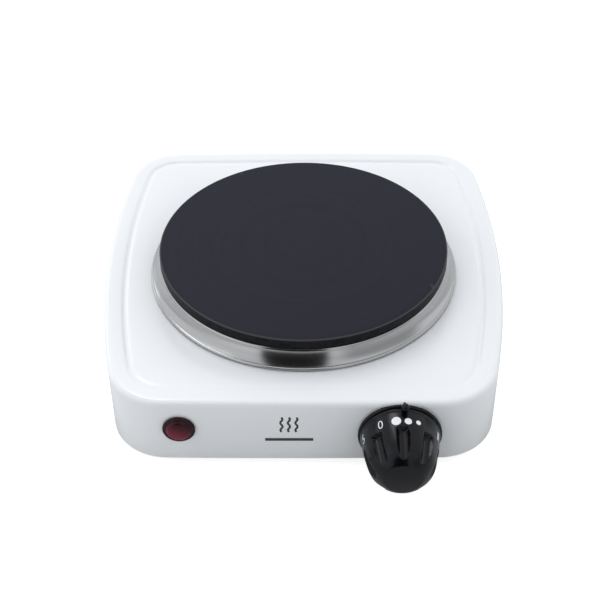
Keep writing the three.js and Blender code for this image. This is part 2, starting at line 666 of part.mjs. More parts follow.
// ---- Internal leads: each runs along the base between two terminals ----
function addLeads() {
  const pole = (i) => [
    TERMINAL.x + i * TERMINAL.pitch,
    TERMINAL.y - TERMINAL.halfDepth - GAP,
    TERMINAL.z,
  ];
  const [frontTabY, rearTabY] = [14.15, 17.25].map((depth) => frontWallY(KNOB_X) + depth);
  const tabX = KNOB_X - 36 - GAP;
  const lampY = frontWallY(LAMP_X) + 9.4;
  const leads = [
    {
      name: "lead_earth", radius: 1.3, material: EARTH_SLEEVING,
      points: [
        pole(-1), [-42, 65, 13.5], [-52, 57, 12], [-64, 53, 11], [EARTH.x + 10.3, EARTH.y, 10.8],
      ],
    },
    {
      name: "lead_live", radius: 1.3, material: SLEEVING,
      points: [
        pole(1), [-23.5, 62, 13], [-27, 20, 12], [-25, -40, 12], [-16, -74, 15],
        [-6, rearTabY + 1, 22], [3, rearTabY, KNOB_Z], [tabX, rearTabY, KNOB_Z],
      ],
    },
    {
      name: "lead_switched", radius: 1.2, material: SLEEVING,
      points: [
        [tabX, frontTabY, KNOB_Z], [6, frontTabY - 1, KNOB_Z - 1], [3.5, -90, 17], [5, -82, 12.5],
        [8, -50, 11.5], [11, -2, 11.5], [11, 10, 17], [9, 19, 27], [9, PIN_Y - 8 - GAP, 28],
      ],
    },
    {
      name: "lead_neutral", radius: 1.3, material: SLEEVING,
      points: [
        pole(0), [-32, 66, 14.5], [-28, 59, 17], [-19, 56, 22], [-11.5, 54, 27], [-9, 49, 28],
        [-9, PIN_Y + 8 + GAP, 28],
      ],
    },
    {
      name: "lamp_lead_neutral", radius: 0.9, material: SLEEVING,
      points: [
        [LAMP_X - 1.7, lampY, LAMP_Z], [-63.3, -86, 25], [-64, -66, 15], [-60, -20, 11.5],
        [-50, 16, 13], [-34, 32, 24], [-25, 36, 28.6], [-18 - GAP, 36, 29],
      ],
    },
    {
      name: "lamp_lead_live", radius: 0.9, material: SLEEVING,
      points: [
        [LAMP_X + 1.7, lampY, LAMP_Z], [-59.5, -86, 24.5], [-50, -64, 16], [-28, -34, 17],
        [-8, -14, 16], [2, 4, 15.5], [4.5, 13, 21], [4.5, 20, 27.3], [4.5, PIN_Y - 8 - GAP, 28],
      ],
    },
  ];
  for (const { name, radius, material, points } of leads) {
    const route = new THREE.CatmullRomCurve3(points.map((p) => new THREE.Vector3(...p)));
    const section = new THREE.Shape().absarc(0, 0, radius, 0, 2 * Math.PI);
    const lead = new THREE.ExtrudeGeometry(section, {
      extrudePath: route,
      steps: 2 * (points.length - 1),
      curveSegments: 4,
    });
    add(assembly, name, lead, material);
  }
}

addHousing();
addBasePlate();
addCorners();
addPlate();
addClamp();
addKnob();
addBezel();
addThermostat();
addLamp();
addMains();
addLeads();

export default appliance;
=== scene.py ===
import json
import math

import bmesh
import bpy
from mathutils import Matrix, Vector


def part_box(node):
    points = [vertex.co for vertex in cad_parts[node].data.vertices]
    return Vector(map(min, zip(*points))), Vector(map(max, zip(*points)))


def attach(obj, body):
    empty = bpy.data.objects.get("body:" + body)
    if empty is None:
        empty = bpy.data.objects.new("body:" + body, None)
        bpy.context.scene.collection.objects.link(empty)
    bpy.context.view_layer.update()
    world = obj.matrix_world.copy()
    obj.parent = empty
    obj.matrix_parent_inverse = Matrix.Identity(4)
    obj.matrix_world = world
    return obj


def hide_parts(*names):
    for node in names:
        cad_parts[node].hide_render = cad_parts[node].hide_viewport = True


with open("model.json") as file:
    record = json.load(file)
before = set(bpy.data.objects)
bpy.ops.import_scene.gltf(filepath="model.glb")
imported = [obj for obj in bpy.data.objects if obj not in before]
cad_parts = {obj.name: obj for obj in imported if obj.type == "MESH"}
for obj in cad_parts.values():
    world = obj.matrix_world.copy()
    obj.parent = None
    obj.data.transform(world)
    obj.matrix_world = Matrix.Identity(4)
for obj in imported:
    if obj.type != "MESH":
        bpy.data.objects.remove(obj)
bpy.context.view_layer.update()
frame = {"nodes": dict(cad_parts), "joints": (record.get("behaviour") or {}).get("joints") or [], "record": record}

MM = 0.001
FULL_TURN = 2 * math.pi
SHEET = 1.0  # pressed steel of the housing and the base
GAP = 0.3  # left between pieces that only just meet
SCREW_APART = 11.5  # from the knob's axis to each thermostat screw
SCREW_HOLE = 1.8
FOOT_HOLE = 2.3

# ---- Places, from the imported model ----


def middle(node):
    low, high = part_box(node)
    return (low + high) / 2


def place_at(x, y, z, quarter_turns=0):
    """Takes millimetres to metres, stood up about X by quarter turns, at a point in metres."""
    turned_up = Matrix.Rotation(quarter_turns * math.pi / 2, 4, "X")
    return Matrix.Translation((x, y, z)) @ turned_up @ Matrix.Scale(MM, 4)


OUT_OF_FRONT = 1
OUT_OF_BACK = -1

plate_middle = middle("hot_plate")
housing_low, housing_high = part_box("housing_shell")
PLATE_AXIS = place_at(plate_middle.x, plate_middle.y, 0)
TOP = housing_high.z / MM
SKIRT_BOTTOM = housing_low.z / MM
PLATE_R = 77.5
PLATE_CHAMFER = 0.5
PLATE_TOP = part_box("hot_plate")[1].z / MM
RIM_BOTTOM = PLATE_TOP - 6.0

knob_joint = next(j for j in frame["joints"] if j["name"] == "knob_turn")
KNOB_AXIS = place_at(*knob_joint["pos_m"], OUT_OF_FRONT)
LENS_OUT = 3.7
lens_middle = middle("pilot_lens")
lens_wall_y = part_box("pilot_lens")[0].y + LENS_OUT * MM
LAMP_AXIS = place_at(lens_middle.x, lens_wall_y, lens_middle.z, OUT_OF_FRONT)
GLAND_OUT = 5.0
gland_middle = middle("cord_gland")
gland_wall_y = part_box("cord_gland")[1].y - GLAND_OUT * MM
GLAND_AXIS = place_at(gland_middle.x, gland_wall_y, gland_middle.z, OUT_OF_BACK)
CORNERS = ("front_left", "front_right", "rear_left", "rear_right")

# ---- Node groups: effects that several finishes share ----


def put(tree, kind, feeds=None, **settings):
    """Adds a node, sets it up, and fills its inputs with plain values or other nodes' outputs."""
    made = tree.nodes.new(kind)
    for key, value in settings.items():
        setattr(made, key, value)
    for socket, value in (feeds or {}).items():
        if isinstance(value, bpy.types.NodeSocket):
            tree.links.new(value, made.inputs[socket])
        else:
            made.inputs[socket].default_value = value
    return made


def start_group(name, inputs, outputs):
    group = bpy.data.node_groups.new(name, "ShaderNodeTree")
    for label, value in inputs.items():
        kind = "NodeSocketVector" if value is None else "NodeSocketFloat"
        socket = group.interface.new_socket(label, in_out="INPUT", socket_type=kind)
        if value is not None:
            socket.default_value = value
    for label in outputs:
        group.interface.new_socket(label, in_out="OUTPUT", socket_type="NodeSocketFloat")
    return group, put(group, "NodeGroupInput").outputs, put(group, "NodeGroupOutput")


def math_node(tree, operation, first, second=0.0):
    return put(tree, "ShaderNodeMath", {0: first, 1: second}, operation=operation).outputs[0]


def noise(tree, scale, vector=None, w=None, detail=2.0, roughness=0.5):
    feeds = {"Scale": scale, "Detail": detail, "Roughness": roughness}
    if w is not None:
        return put(tree, "ShaderNodeTexNoise", {**feeds, "W": w}, noise_dimensions="1D").outputs[0]
    return put(tree, "ShaderNodeTexNoise", {**feeds, "Vector": vector}).outputs[0]


def spread(tree, value, low, high, to_low=0.0, to_high=1.0):
    """The value stretched from low..high to to_low..to_high, eased at both ends."""
    feeds = {0: value, 1: low, 2: high, 3: to_low, 4: to_high}
    return put(tree, "ShaderNodeMapRange", feeds, interpolation_type="SMOOTHSTEP").outputs[0]


def apart(tree, vector):
    """The vector's three parts."""
    return put(tree, "ShaderNodeSeparateXYZ", {0: vector}).outputs


def length_of(tree, first, second):
    """How long the flat vector with these two parts is."""
    flat = put(tree, "ShaderNodeCombineXYZ", {0: first, 1: second}).outputs[0]
    return put(tree, "ShaderNodeVectorMath", {0: flat}, operation="LENGTH").outputs["Value"]


def make_turned_rings():
    """Fine rings left by a lathe about the vector's Z axis, and slower bands of tone."""
    group, given, out = start_group("turned_rings", {"Vector": None, "Lines": 900.0}, ("Height", "Tone"))
    x, y = apart(group, given["Vector"])[:2]
    lines = math_node(group, "MULTIPLY", length_of(group, x, y), given["Lines"])
    bands = math_node(group, "MULTIPLY", lines, 0.11)
    group.links.new(noise(group, 1.0, w=lines, detail=3.0), out.inputs["Height"])
    group.links.new(noise(group, 1.0, w=bands, detail=1.0), out.inputs["Tone"])
    return group


def make_orange_peel():
    """The low swells of a sprayed or stoved coat, and a faint drift of tone over it."""
    group, given, out = start_group("orange_peel", {"Vector": None, "Scale": 500.0}, ("Height", "Tone"))
    swells = noise(group, given["Scale"], given["Vector"], detail=1.5)
    drift = noise(group, math_node(group, "MULTIPLY", given["Scale"], 0.03), given["Vector"])
    group.links.new(swells, out.inputs["Height"])
    group.links.new(drift, out.inputs["Tone"])
    return group


def make_grain():
    """Small pits and specks, as in rubber, fired clay or a sintered coat."""
    group, given, out = start_group("grain", {"Vector": None, "Scale": 3000.0}, ("Height", "Specks"))
    pits = noise(group, given["Scale"], given["Vector"], detail=4.0, roughness=0.65)
    specks = put(group, "ShaderNodeTexVoronoi", {"Vector": given["Vector"], "Scale": given["Scale"]})
    group.links.new(pits, out.inputs["Height"])
    group.links.new(spread(group, specks.outputs["Distance"], 0.1, 0.5), out.inputs["Specks"])
    return group


def make_rolled_steel():
    """Rolling lines along X with the cloudy spangle of a zinc coat."""
    group, given, out = start_group("rolled_steel", {"Vector": None, "Scale": 1.0}, ("Height", "Tone"))
    squeeze = put(group, "ShaderNodeMapping", {"Vector": given["Vector"], "Scale": (60, 2600, 2600)})
    lines = noise(group, given["Scale"], squeeze.outputs[0], detail=3.0)
    flakes = put(group, "ShaderNodeTexVoronoi", {"Vector": given["Vector"], "Scale": 420.0})
    tone = put(group, "ShaderNodeRGBToBW", {0: flakes.outputs["Color"]}).outputs[0]
    group.links.new(lines, out.inputs["Height"])
    group.links.new(tone, out.inputs["Tone"])
    return group


def make_edge_wear():
    """A mask that is strongest along outer edges, broken up so that no edge wears evenly: worn edges on most
    finishes, and a painted highlight along the edges of the white enamel.
    """
    inputs = {"Vector": None, "Reach": 0.06, "Breakup": 300.0}
    group, given, out = start_group("edge_wear_and_sheen", inputs, ("Mask",))
    sharpness = put(group, "ShaderNodeNewGeometry").outputs["Pointiness"]
    edges = spread(group, sharpness, 0.505, math_node(group, "ADD", 0.5, given["Reach"]))
    broken = spread(group, noise(group, given["Breakup"], given["Vector"], detail=4.0), 0.3, 0.65)
    group.links.new(math_node(group, "MULTIPLY", edges, broken), out.inputs["Mask"])
    return group


TURNED_RINGS = make_turned_rings()
ORANGE_PEEL = make_orange_peel()
GRAIN = make_grain()
ROLLED_STEEL = make_rolled_steel()
EDGE_WEAR_AND_SHEEN = make_edge_wear()

# ---- Finishes ----


class Finish:
    """A material round one Principled BSDF, its patterns measured from a centre where it has one."""

    def __init__(self, name, centre=None, **fixed):
        self.material = bpy.data.materials.new(name)
        self.material.use_nodes = True
        self.tree = self.material.node_tree
        self.shader = self.tree.nodes["Principled BSDF"]
        for label, value in fixed.items():
            self.shader.inputs[label.replace("_", " ")].default_value = value
        where = put(self.tree, "ShaderNodeTexCoord").outputs["Object"]
        if centre is not None:
            feeds = {0: where, 1: tuple(centre)}
            where = put(self.tree, "ShaderNodeVectorMath", feeds, operation="SUBTRACT").outputs[0]
        self.where = where

    def effect(self, group, **values):
        made = put(self.tree, "ShaderNodeGroup", node_tree=group)
        self.tree.links.new(self.where, made.inputs["Vector"])
        for label, value in values.items():
            made.inputs[label].default_value = value
        return made.outputs

    def feed(self, label, value):
        self.tree.links.new(value, self.shader.inputs[label])

    def shade(self, mask, first, second):
        """Colour or roughness that runs from first to second with the mask."""
        if isinstance(first, float):
            return put(self.tree, "ShaderNodeMapRange", {0: mask, 3: first, 4: second}).outputs[0]
        mix = put(self.tree, "ShaderNodeMix", {"Factor": mask}, data_type="RGBA")
        mix.inputs[6].default_value = (*first, 1)
        mix.inputs[7].default_value = (*second, 1)
        return mix.outputs[2]

    def layer(self, mask, under, over):
        """Over lies on under where the mask is; under is a socket and over a colour."""
        mix = put(self.tree, "ShaderNodeMix", {"Factor": mask}, data_type="RGBA")
        self.tree.links.new(under, mix.inputs[6])
        mix.inputs[7].default_value = (*over, 1)
        return mix.outputs[2]

    def bump(self, height, strength, depth, under=None):
        feeds = {"Height": height, "Strength": strength, "Distance": depth}
        if under is not None:
            feeds["Normal"] = under
        return put(self.tree, "ShaderNodeBump", feeds).outputs[0]


def make_white_enamel():
    finish = Finish("white_enamel", Coat_Weight=0.3, Coat_Roughness=0.08)
    peel = finish.effect(ORANGE_PEEL, Scale=420.0)
    wear_and_sheen = finish.effect(EDGE_WEAR_AND_SHEEN, Reach=0.12, Breakup=260.0)
    coat = finish.shade(peel["Tone"], (0.84, 0.862, 0.885), (0.87, 0.892, 0.915))
    # Painted highlight: the enamel is painted lighter along its outer edges, where the fillets catch the light;
    # the paint is not worn there.
    finish.feed("Base Color", finish.layer(wear_and_sheen["Mask"], coat, (0.89, 0.90, 0.92)))
    finish.feed("Roughness", finish.shade(peel["Tone"], 0.27, 0.34))
    finish.feed("Normal", finish.bump(peel["Height"], 0.05, 0.0002))
    return finish.material


def make_plate_black():
    """A matt heat-proof coat on the turned top face, with painted shade on the side, which is coloured darker, and
    a painted highlight in a thin lighter ring along the top edge.
    """
    finish = Finish("plate_black", plate_middle, Specular_IOR_Level=0.14)
    rings = finish.effect(TURNED_RINGS, Lines=1500.0)
    grain = finish.effect(GRAIN, Scale=2600.0)
    wear_and_sheen = finish.effect(EDGE_WEAR_AND_SHEEN, Reach=0.05, Breakup=420.0)
    x, y, z = apart(finish.tree, finish.where)
    top_face = PLATE_TOP * MM - plate_middle.z
    # Painted shade: the side below the top face is coloured darker than the top.
    side = spread(finish.tree, z, top_face - 0.9 * MM, top_face - 0.6 * MM, 1.0, 0.0)
    # Painted highlight: a thin lighter ring along the top edge, where the chamfer catches the light.
    high = spread(finish.tree, z, top_face - 0.7 * MM, top_face - 0.4 * MM)
    edge = (PLATE_R - PLATE_CHAMFER) * MM
    outermost = spread(finish.tree, length_of(finish.tree, x, y), edge - 0.4 * MM, edge)
    rim = math_node(finish.tree, "MULTIPLY", high, outermost)
    coat = finish.shade(rings["Tone"], (0.009, 0.009, 0.018), (0.013, 0.013, 0.024))
    coat = finish.layer(side, coat, (0.001, 0.001, 0.0015))
    coat = finish.layer(rim, coat, (0.055, 0.055, 0.062))
    coat = finish.layer(wear_and_sheen["Mask"], coat, (0.045, 0.045, 0.055))
    finish.feed("Base Color", coat)
    finish.feed("Roughness", finish.shade(rings["Height"], 0.46, 0.58))
    turned = finish.bump(rings["Height"], 0.22, 0.00012)
    finish.feed("Normal", finish.bump(grain["Height"], 0.12, 0.00008, turned))
    return finish.material


def make_spun_stainless():
    finish = Finish("spun_stainless", plate_middle, Metallic=1.0)
    rings = finish.effect(TURNED_RINGS, Lines=4200.0)
    finish.feed("Base Color", finish.shade(rings["Tone"], (0.34, 0.34, 0.345), (0.43, 0.43, 0.435)))
    finish.feed("Roughness", finish.shade(rings["Height"], 0.11, 0.2))
    finish.feed("Normal", finish.bump(rings["Height"], 0.12, 0.00005))
    return finish.material


def make_zinc_steel():
    finish = Finish("zinc_steel", Metallic=1.0)
    rolled = finish.effect(ROLLED_STEEL)
    wear_and_sheen = finish.effect(EDGE_WEAR_AND_SHEEN, Reach=0.1, Breakup=700.0)
    plating = finish.shade(rolled["Tone"], (0.48, 0.49, 0.52), (0.60, 0.61, 0.62))
    finish.feed("Base Color", finish.layer(wear_and_sheen["Mask"], plating, (0.68, 0.68, 0.68)))
    finish.feed("Roughness", finish.shade(rolled["Tone"], 0.34, 0.5))
    finish.feed("Normal", finish.bump(rolled["Height"], 0.1, 0.00005))
    return finish.material


def make_black_phenolic():
    finish = Finish("black_phenolic", Specular_IOR_Level=0.25)
    peel = finish.effect(ORANGE_PEEL, Scale=900.0)
    wear_and_sheen = finish.effect(EDGE_WEAR_AND_SHEEN, Reach=0.09, Breakup=500.0)
    resin = finish.shade(peel["Tone"], (0.0012, 0.0014, 0.0036), (0.0022, 0.0024, 0.0054))
    finish.feed("Base Color", finish.layer(wear_and_sheen["Mask"], resin, (0.010, 0.010, 0.012)))
    finish.feed("Roughness", finish.shade(peel["Tone"], 0.19, 0.26))
    finish.feed("Normal", finish.bump(peel["Height"], 0.04, 0.0001))
    return finish.material


def make_red_lens():
    """Clear red plastic, with painted light and shade: the dome is painted bright low down, where light from above
    would gather, and dark towards the top, and the thick rim is painted dark.
    """
    finish = Finish("red_lens", lens_middle, Specular_IOR_Level=0.22)
    peel = finish.effect(ORANGE_PEEL, Scale=700.0)
    x, _, z = apart(finish.tree, finish.where)
    # Painted light and shade: the red is painted brighter low in the dome and darker towards the top.
    lean = math_node(finish.tree, "ADD", z, math_node(finish.tree, "MULTIPLY", x, 0.4))
    deep = spread(finish.tree, lean, -4.5 * MM, 5.5 * MM)
    dome = finish.shade(deep, (0.200, 0.010, 0.034), (0.022, 0.0006, 0.003))
    # Painted shade: the thick rim is painted dark.
    rim = spread(finish.tree, length_of(finish.tree, x, z), 6.0 * MM, 6.7 * MM)
    plastic = finish.layer(rim, dome, (0.012, 0.0012, 0.004))
    drift = math_node(finish.tree, "MULTIPLY", peel["Tone"], 0.3)
    finish.feed("Base Color", finish.layer(drift, plastic, (0.060, 0.002, 0.008)))
    finish.feed("Roughness", finish.shade(peel["Tone"], 0.16, 0.24))
    finish.feed("Normal", finish.bump(peel["Height"], 0.05, 0.0001))
    return finish.material


def make_grained(name, dark, light, scale, rough, depth, **fixed):
    """Matt stuff with pits and specks: rubber, ceramic, nylon, sleeving."""
    finish = Finish(name, **fixed)
    grain = finish.effect(GRAIN, Scale=scale)
    finish.feed("Base Color", finish.shade(grain["Specks"], dark, light))
    finish.feed("Roughness", finish.shade(grain["Height"], rough - 0.08, rough + 0.08))
    finish.feed("Normal", finish.bump(grain["Height"], 0.3, depth))
    return finish.material


def make_brass():
    finish = Finish("brass", Metallic=1.0)
    rolled = finish.effect(ROLLED_STEEL)
    finish.feed("Base Color", finish.shade(rolled["Tone"], (0.55, 0.40, 0.17), (0.70, 0.53, 0.25)))
    finish.feed("Roughness", finish.shade(rolled["Height"], 0.24, 0.4))
    finish.feed("Normal", finish.bump(rolled["Height"], 0.1, 0.00005))
    return finish.material


def make_lamp_glass():
    finish = Finish("lamp_glass", Transmission_Weight=0.9, IOR=1.5)
    peel = finish.effect(ORANGE_PEEL, Scale=300.0)
    finish.feed("Base Color", finish.shade(peel["Tone"], (0.88, 0.90, 0.91), (0.93, 0.94, 0.95)))
    finish.feed("Roughness", finish.shade(peel["Tone"], 0.02, 0.06))
    return finish.material


def make_earth_sleeving():
    """Green sleeving with a yellow stripe that winds about it."""
    finish = Finish("earth_sleeving")
    grain = finish.effect(GRAIN, Scale=2400.0)
    bands = put(
        finish.tree,
        "ShaderNodeTexWave",
        {"Vector": finish.where, "Scale": 90.0, "Distortion": 1.5},
        bands_direction="DIAGONAL",
    ).outputs[1]
    stripe = spread(finish.tree, bands, 0.45, 0.6)
    finish.feed("Base Color", finish.shade(stripe, (0.06, 0.28, 0.05), (0.72, 0.60, 0.06)))
    finish.feed("Roughness", finish.shade(grain["Height"], 0.5, 0.7))
    finish.feed("Normal", finish.bump(grain["Height"], 0.3, 0.0001))
    return finish.material


FINISHES = {
    "white_paint": make_white_enamel(),
    "cast_iron": make_plate_black(),
    "stainless": make_spun_stainless(),
    "zinc_steel": make_zinc_steel(),
    "black_plastic": make_black_phenolic(),
    "red_lens": make_red_lens(),
    "brass": make_brass(),
    "lamp_glass": make_lamp_glass(),
    "earth_sleeving": make_earth_sleeving(),
}
# slot or print, name, dark, light, scale of the grain, roughness, depth of the grain
for slot, *values in [
    ("grey_plastic", "nylon", (0.66, 0.66, 0.62), (0.72, 0.72, 0.68), 1800.0, 0.5, 0.00004),
    ("ceramic", "steatite", (0.74, 0.70, 0.62), (0.84, 0.81, 0.74), 2200.0, 0.62, 0.00008),
    ("rubber", "rubber", (0.020, 0.020, 0.021), (0.034, 0.034, 0.035), 2600.0, 0.8, 0.0001),
    ("sleeving", "sleeving", (0.62, 0.59, 0.52), (0.80, 0.77, 0.69), 1500.0, 0.8, 0.00018),
    ("white_print", "white_print", (0.74, 0.75, 0.79), (0.86, 0.86, 0.90), 1600.0, 0.5, 0.00003),
    ("dark_print", "dark_print", (0.018, 0.018, 0.020), (0.030, 0.030, 0.034), 1600.0, 0.5, 0.00003),
]:
    FINISHES[slot] = make_grained(*values)

for row in frame["record"]["subparts"]:
    data = frame["nodes"][row["node"]].data
    data.materials.clear()
    data.materials.append(FINISHES[row["material_slot"]])

# ---- Making and finishing pieces ----


def turned(profile, steps=128, closed=False):
    """A piece turned about Z from [radius, height] pairs. A bored piece's profile closes on itself."""
    bm = bmesh.new()
    verts = [bm.verts.new((r, 0, z)) for r, z in profile]
    for first, second in zip(verts, verts[1:] + (verts[:1] if closed else [])):
        bm.edges.new((first, second))
    bmesh.ops.spin(
        bm,
        geom=bm.verts[:] + bm.edges[:],
        cent=(0, 0, 0),
        axis=(0, 0, 1),
        angle=FULL_TURN,
        steps=steps,
        use_merge=True,
    )
    return closed_up(bm)


def closed_up(bm):
    bmesh.ops.remove_doubles(bm, verts=bm.verts[:], dist=0.001)
    bmesh.ops.recalc_face_normals(bm, faces=bm.faces[:])
    return bm


def eased(points, gap):
    """The points joined by one smooth curve, with points about gap apart."""
    line = []
    ends = [points[0], *points, points[-1]]
    for before, start, end, after in zip(ends, ends[1:], ends[2:], ends[3:]):
        steps = max(1, round(math.dist(start, end) / gap))
        for k in range(steps):
            s = k / steps
            point = []
            for a, b, c, d in zip(before, start, end, after):
                bend = (2 * a - 5 * b + 4 * c - d) * s**2 + (3 * b - a - 3 * c + d) * s**3
                point.append(0.5 * (2 * b + (c - a) * s + bend))
            line.append(tuple(point))
    return [*line, points[-1]]


def round_over(bm, edges, width, segments, clamped=False):
    bmesh.ops.bevel(
        bm,
        geom=edges,
        offset=width,
        segments=segments,
        profile=0.5,
        affect="EDGES",
        clamp_overlap=clamped,
        material=-1,
    )


def soften(bm, width, segments=3, over=25):
    """Rounds the edges that turn by more than over degrees."""
    least = math.radians(over)
    edges = [e for e in bm.edges if e.is_manifold and e.calc_face_angle() > least]
    round_over(bm, edges, width, segments, clamped=True)
    return bm


def drill(bm, x, y, z, radius, depth, quarter_turns=0, segments=40):
    """Adds a drill's cylinder, centred on a point, to a mesh of cutters."""
    made = bmesh.ops.create_cone(
        bm, cap_ends=True, segments=segments, radius1=radius, radius2=radius, depth=depth
    )
    place = Matrix.Translation((x, y, z)) @ Matrix.Rotation(quarter_turns * math.pi / 2, 4, "X")
    bmesh.ops.transform(bm, matrix=place, verts=made["verts"])


def mill(bm, low, high, round_by=0.0):
    """Adds a block between two corners, its upright edges rounded, to a mesh of cutters."""
    made = bmesh.ops.create_cube(bm, size=1.0)
    verts = made["verts"]
    size = [b - a for a, b in zip(low, high)]
    bmesh.ops.scale(bm, vec=size, verts=verts)
    bmesh.ops.translate(bm, vec=[(a + b) / 2 for a, b in zip(low, high)], verts=verts)
    if round_by:
        edges = {e for v in verts for e in v.link_edges}
        upright = [e for e in edges if abs(e.verts[0].co.z - e.verts[1].co.z) > 1e-6]
        round_over(bm, upright, round_by, 8)


def to_object(name, bm, place):
    bm.transform(place)
    mesh = bpy.data.meshes.new(name)
    bm.to_mesh(mesh)
    bm.free()
    piece = bpy.data.objects.new(name, mesh)
    bpy.context.scene.collection.objects.link(piece)
    return piece


def settle(piece):
    """Makes the piece's modifiers part of its mesh."""
    graph = bpy.context.evaluated_depsgraph_get()
    mesh = bpy.data.meshes.new_from_object(piece.evaluated_get(graph))
    piece.modifiers.clear()
    piece.data = mesh


def give_wall(piece):
    """Turns a drawn skin into pressed sheet, the skin being its outer side."""
    wall = piece.modifiers.new("wall", "SOLIDIFY")
    wall.thickness = SHEET * MM
    wall.offset = -1
    wall.use_even_offset = True


def cut_away(piece, cutter_mesh, place, operation="DIFFERENCE"):
    """Cuts a mesh of cutters from the piece, or joins it on."""
    cutter = to_object("cutter", cutter_mesh, place)
    modifier = piece.modifiers.new("cut", "BOOLEAN")
    modifier.operation = operation
    modifier.solver = "EXACT"
    modifier.object = cutter
    settle(piece)
    bpy.data.objects.remove(cutter)


def finish_piece(piece, material, body, stands_for=(), sharp=32):
    """Smooth faces with crisp edges, a finish, and the body that the piece rides on."""
    mesh = piece.data
    mesh.name = piece.name
    mesh.materials.clear()
    mesh.materials.append(material)
    mesh.polygons.foreach_set("use_smooth", [True] * len(mesh.polygons))
    mesh.polygons.foreach_set("material_index", [0] * len(mesh.polygons))
    mesh.set_sharp_from_angle(angle=math.radians(sharp))
    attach(piece, body)
    if stands_for:
        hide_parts(*stands_for)
    return piece


def slotted_piece(piece, slot, body, *stands_for, sharp=32):
    """Finishes a piece in its record slot's own finish."""
    return finish_piece(piece, FINISHES[slot], body, stands_for, sharp)


# ---- Housing ----
FRONT = (plate_middle.y - housing_low.y) / MM
BACK = (housing_high.y - plate_middle.y) / MM
HALF_WIDTH = housing_high.x / MM
WIDEST_Y = 17.0
FRONT_ARC = 5000
BACK_ARC = 2800
SIDE_ARC = 457
FRONT_CORNER = 30.2
BACK_CORNER = 27.1
WALL_STEPS = {"front": 24, "side": 44, "back": 24, "corner": 18}

EDGE_FILLET = 3.0
GROOVE_INSET = 11.0  # centre line of the pressed border groove
GROOVE_HALF = 2.4
GROOVE_DEPTH = 1.0
GROOVE_FADE = (-97, -70)  # the groove runs out towards the front corners
GROOVE_LOOPS = 12
FLAT = 0.5  # flat left beside a fillet or the groove
OPENING_R = 76.0
BUSH_HOLE = 5.2
LENS_HOLE = 5.9
GLAND_HOLE = 6.8


def corner_arc(wall_a, wall_b, radius):
    """The corner circle that lies inside two wall circles and touches both."""
    (ax, ay, ar), (bx, by, br) = wall_a, wall_b
    reach_a, reach_b = ar - radius, br - radius
    dx, dy = bx - ax, by - ay
    d = math.hypot(dx, dy)
    along = (reach_a**2 - reach_b**2 + d * d) / (2 * d)
    across = math.sqrt(reach_a**2 - along**2)
    return (ax + (along * dx - across * dy) / d, ay + (along * dy + across * dx) / d, radius)


def draw_outline(bm, height, inset=0.0):
    """Draws the housing's outline as one face: four wall arcs joined by four corner arcs."""
    front = (0, FRONT_ARC - FRONT, FRONT_ARC)
    right = (HALF_WIDTH - SIDE_ARC, WIDEST_Y, SIDE_ARC)
    back = (0, BACK - BACK_ARC, BACK_ARC)
    left = (SIDE_ARC - HALF_WIDTH, WIDEST_Y, SIDE_ARC)
    walls = [front, right, back, left]
    radii = [FRONT_CORNER, BACK_CORNER, BACK_CORNER, FRONT_CORNER]
    corners = [corner_arc(walls[i], walls[(i + 1) % 4], radii[i]) for i in range(4)]
    steps = [WALL_STEPS[k] for k in ("front", "side", "back", "side")]

    def angle_of(corner, wall):
        return math.atan2(corner[1] - wall[1], corner[0] - wall[0])

    # Angle at which each wall meets the corner after it, and the one before it.
    leaves = [angle_of(corners[i], walls[i]) for i in range(4)]
    enters = [angle_of(corners[i - 1], walls[i]) for i in range(4)]
    arcs = []
    for i in range(4):
        arcs.append((walls[i], enters[i], leaves[i], steps[i]))
        arcs.append((corners[i], leaves[i], enters[(i + 1) % 4], WALL_STEPS["corner"]))
    (x, y, r), start = arcs[0][0], arcs[0][1]
    r -= inset
    vert = bm.verts.new((x + r * math.cos(start), y + r * math.sin(start), height))
    for (x, y, _), start, end, count in arcs:
        spun = bmesh.ops.spin(
            bm,
            geom=[vert],
            cent=(x, y, height),
            axis=(0, 0, 1),
            angle=(end - start) % FULL_TURN,
            steps=count,
            use_merge=False,
        )
        vert = next(g for g in spun["geom_last"] if isinstance(g, bmesh.types.BMVert))
    bmesh.ops.remove_doubles(bm, verts=bm.verts[:], dist=0.05)
    face = bmesh.ops.contextual_create(bm, geom=bm.edges[:])["faces"][0]
    if face.normal.z < 0:
        face.normal_flip()
    return face


def pull_down(bm, edges, drop):
    """Extrudes open edges straight down and returns the new open edges."""
    made = bmesh.ops.extrude_edge_only(bm, edges=edges)["geom"]
    verts = [g for g in made if isinstance(g, bmesh.types.BMVert)]
    bmesh.ops.translate(bm, vec=(0, 0, -drop), verts=verts)
    return [g for g in made if isinstance(g, bmesh.types.BMEdge) and g.is_boundary]


def step_in(bm, face, by):
    bmesh.ops.inset_region(bm, faces=[face], thickness=by, use_boundary=True, use_even_offset=True)


